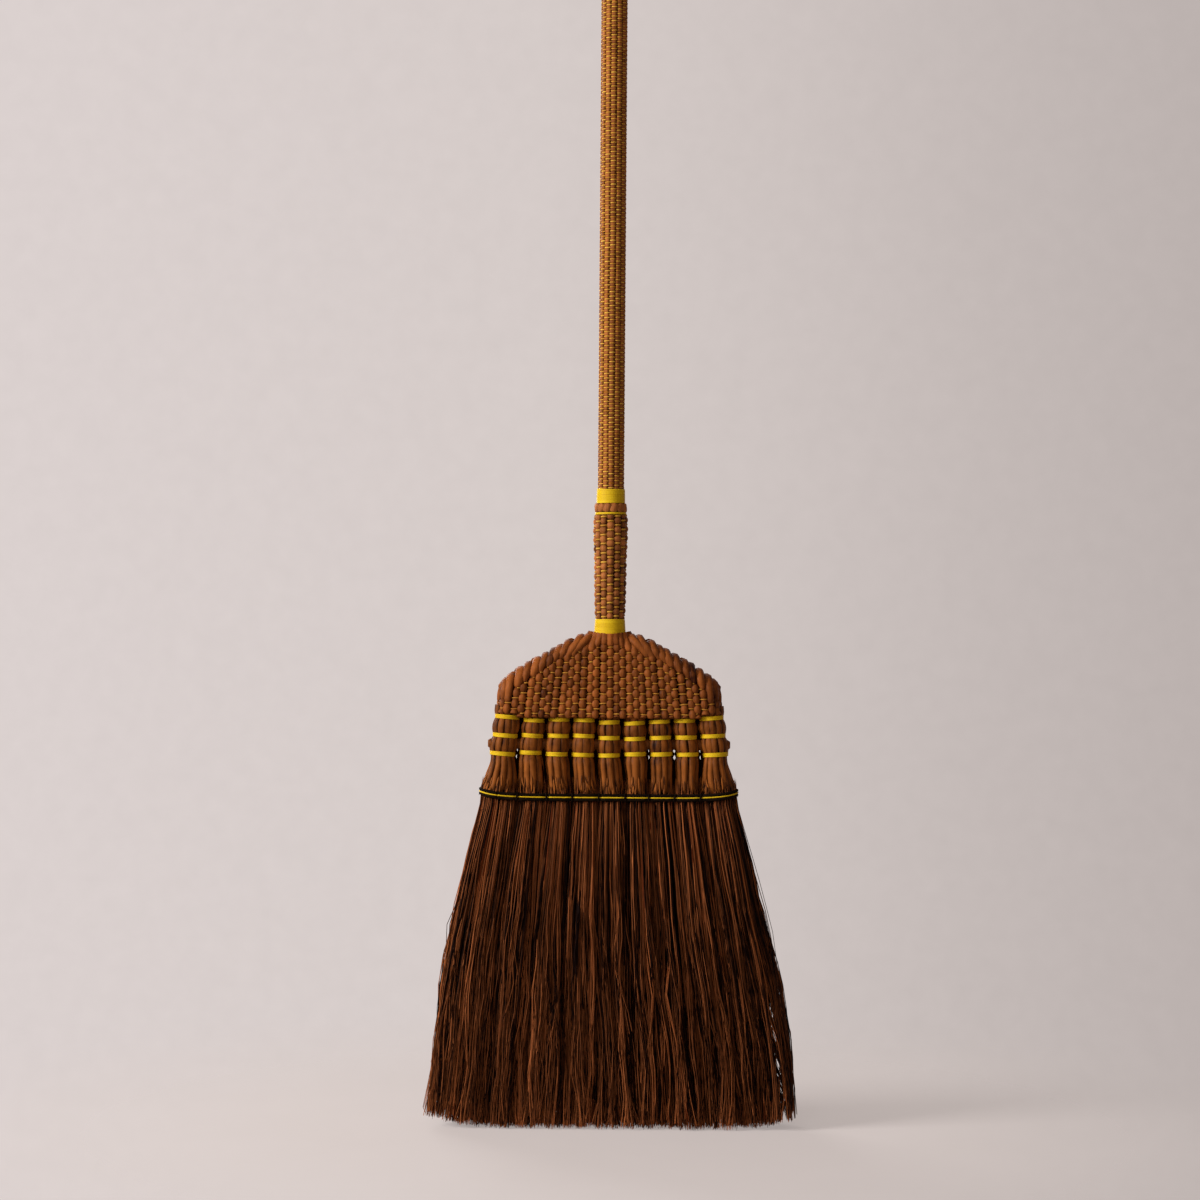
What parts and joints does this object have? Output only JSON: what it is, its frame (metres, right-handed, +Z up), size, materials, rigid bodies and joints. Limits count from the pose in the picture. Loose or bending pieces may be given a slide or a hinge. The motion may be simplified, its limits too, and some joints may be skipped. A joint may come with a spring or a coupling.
{
  "type": "broom",
  "caption": "Long-handled flat broom of plant stalks, with a woven handle and shoulder, bound bundles, a stitched band and long dark bristles.",
  "frame": {"origin": "middle of the broom's footprint on the floor, under the handle's axis, at the level of the lowest bristle tips", "axes": "+Z up along the handle, X across the broom's wide face, +Y towards its back"},
  "size_m": [0.3129, 0.0474, 1.3],
  "materials": {
    "pale_wood": "bare sanded wood",
    "golden_stalk": "glossy golden split stalk, lacquered",
    "brown_stalk": "satin reddish brown stalk",
    "dark_bristle": "dull dark brown plant bristle",
    "yellow_twine": "waxed yellow twine",
    "black_twine": "matt black twine"
  },
  "bodies": {
    "root": {"handle_pole": "pale_wood", "handle_sheath": "golden_stalk", "end_binding": "yellow_twine", "upper_collar": "yellow_twine", "stalk_fold": "brown_stalk", "neck_ring": "yellow_twine", "neck_weave": "brown_stalk", "lower_collar": "yellow_twine", "shoulder_weave": "brown_stalk", "cross_rod": "brown_stalk", "stitch_yellow": "yellow_twine", "stitch_black": "black_twine", "bundle_1": "brown_stalk", "binding_top_1": "yellow_twine", "binding_mid_1": "yellow_twine", "binding_low_1": "yellow_twine", "bristle_bunch_1": "dark_bristle", "bundle_2": "brown_stalk", "binding_top_2": "yellow_twine", "binding_mid_2": "yellow_twine", "binding_low_2": "yellow_twine", "bristle_bunch_2": "dark_bristle", "bundle_3": "brown_stalk", "binding_top_3": "yellow_twine", "binding_mid_3": "yellow_twine", "binding_low_3": "yellow_twine", "bristle_bunch_3": "dark_bristle", "bundle_4": "brown_stalk", "binding_top_4": "yellow_twine", "binding_mid_4": "yellow_twine", "binding_low_4": "yellow_twine", "bristle_bunch_4": "dark_bristle", "bundle_5": "brown_stalk", "binding_top_5": "yellow_twine", "binding_mid_5": "yellow_twine", "binding_low_5": "yellow_twine", "bristle_bunch_5": "dark_bristle", "bundle_6": "brown_stalk", "binding_top_6": "yellow_twine", "binding_mid_6": "yellow_twine", "binding_low_6": "yellow_twine", "bristle_bunch_6": "dark_bristle", "bundle_7": "brown_stalk", "binding_top_7": "yellow_twine", "binding_mid_7": "yellow_twine", "binding_low_7": "yellow_twine", "bristle_bunch_7": "dark_bristle", "bundle_8": "brown_stalk", "binding_top_8": "yellow_twine", "binding_mid_8": "yellow_twine", "binding_low_8": "yellow_twine", "bristle_bunch_8": "dark_bristle", "bundle_9": "brown_stalk", "binding_top_9": "yellow_twine", "binding_mid_9": "yellow_twine", "binding_low_9": "yellow_twine", "bristle_bunch_9": "dark_bristle"}
  },
  "joints": []
}
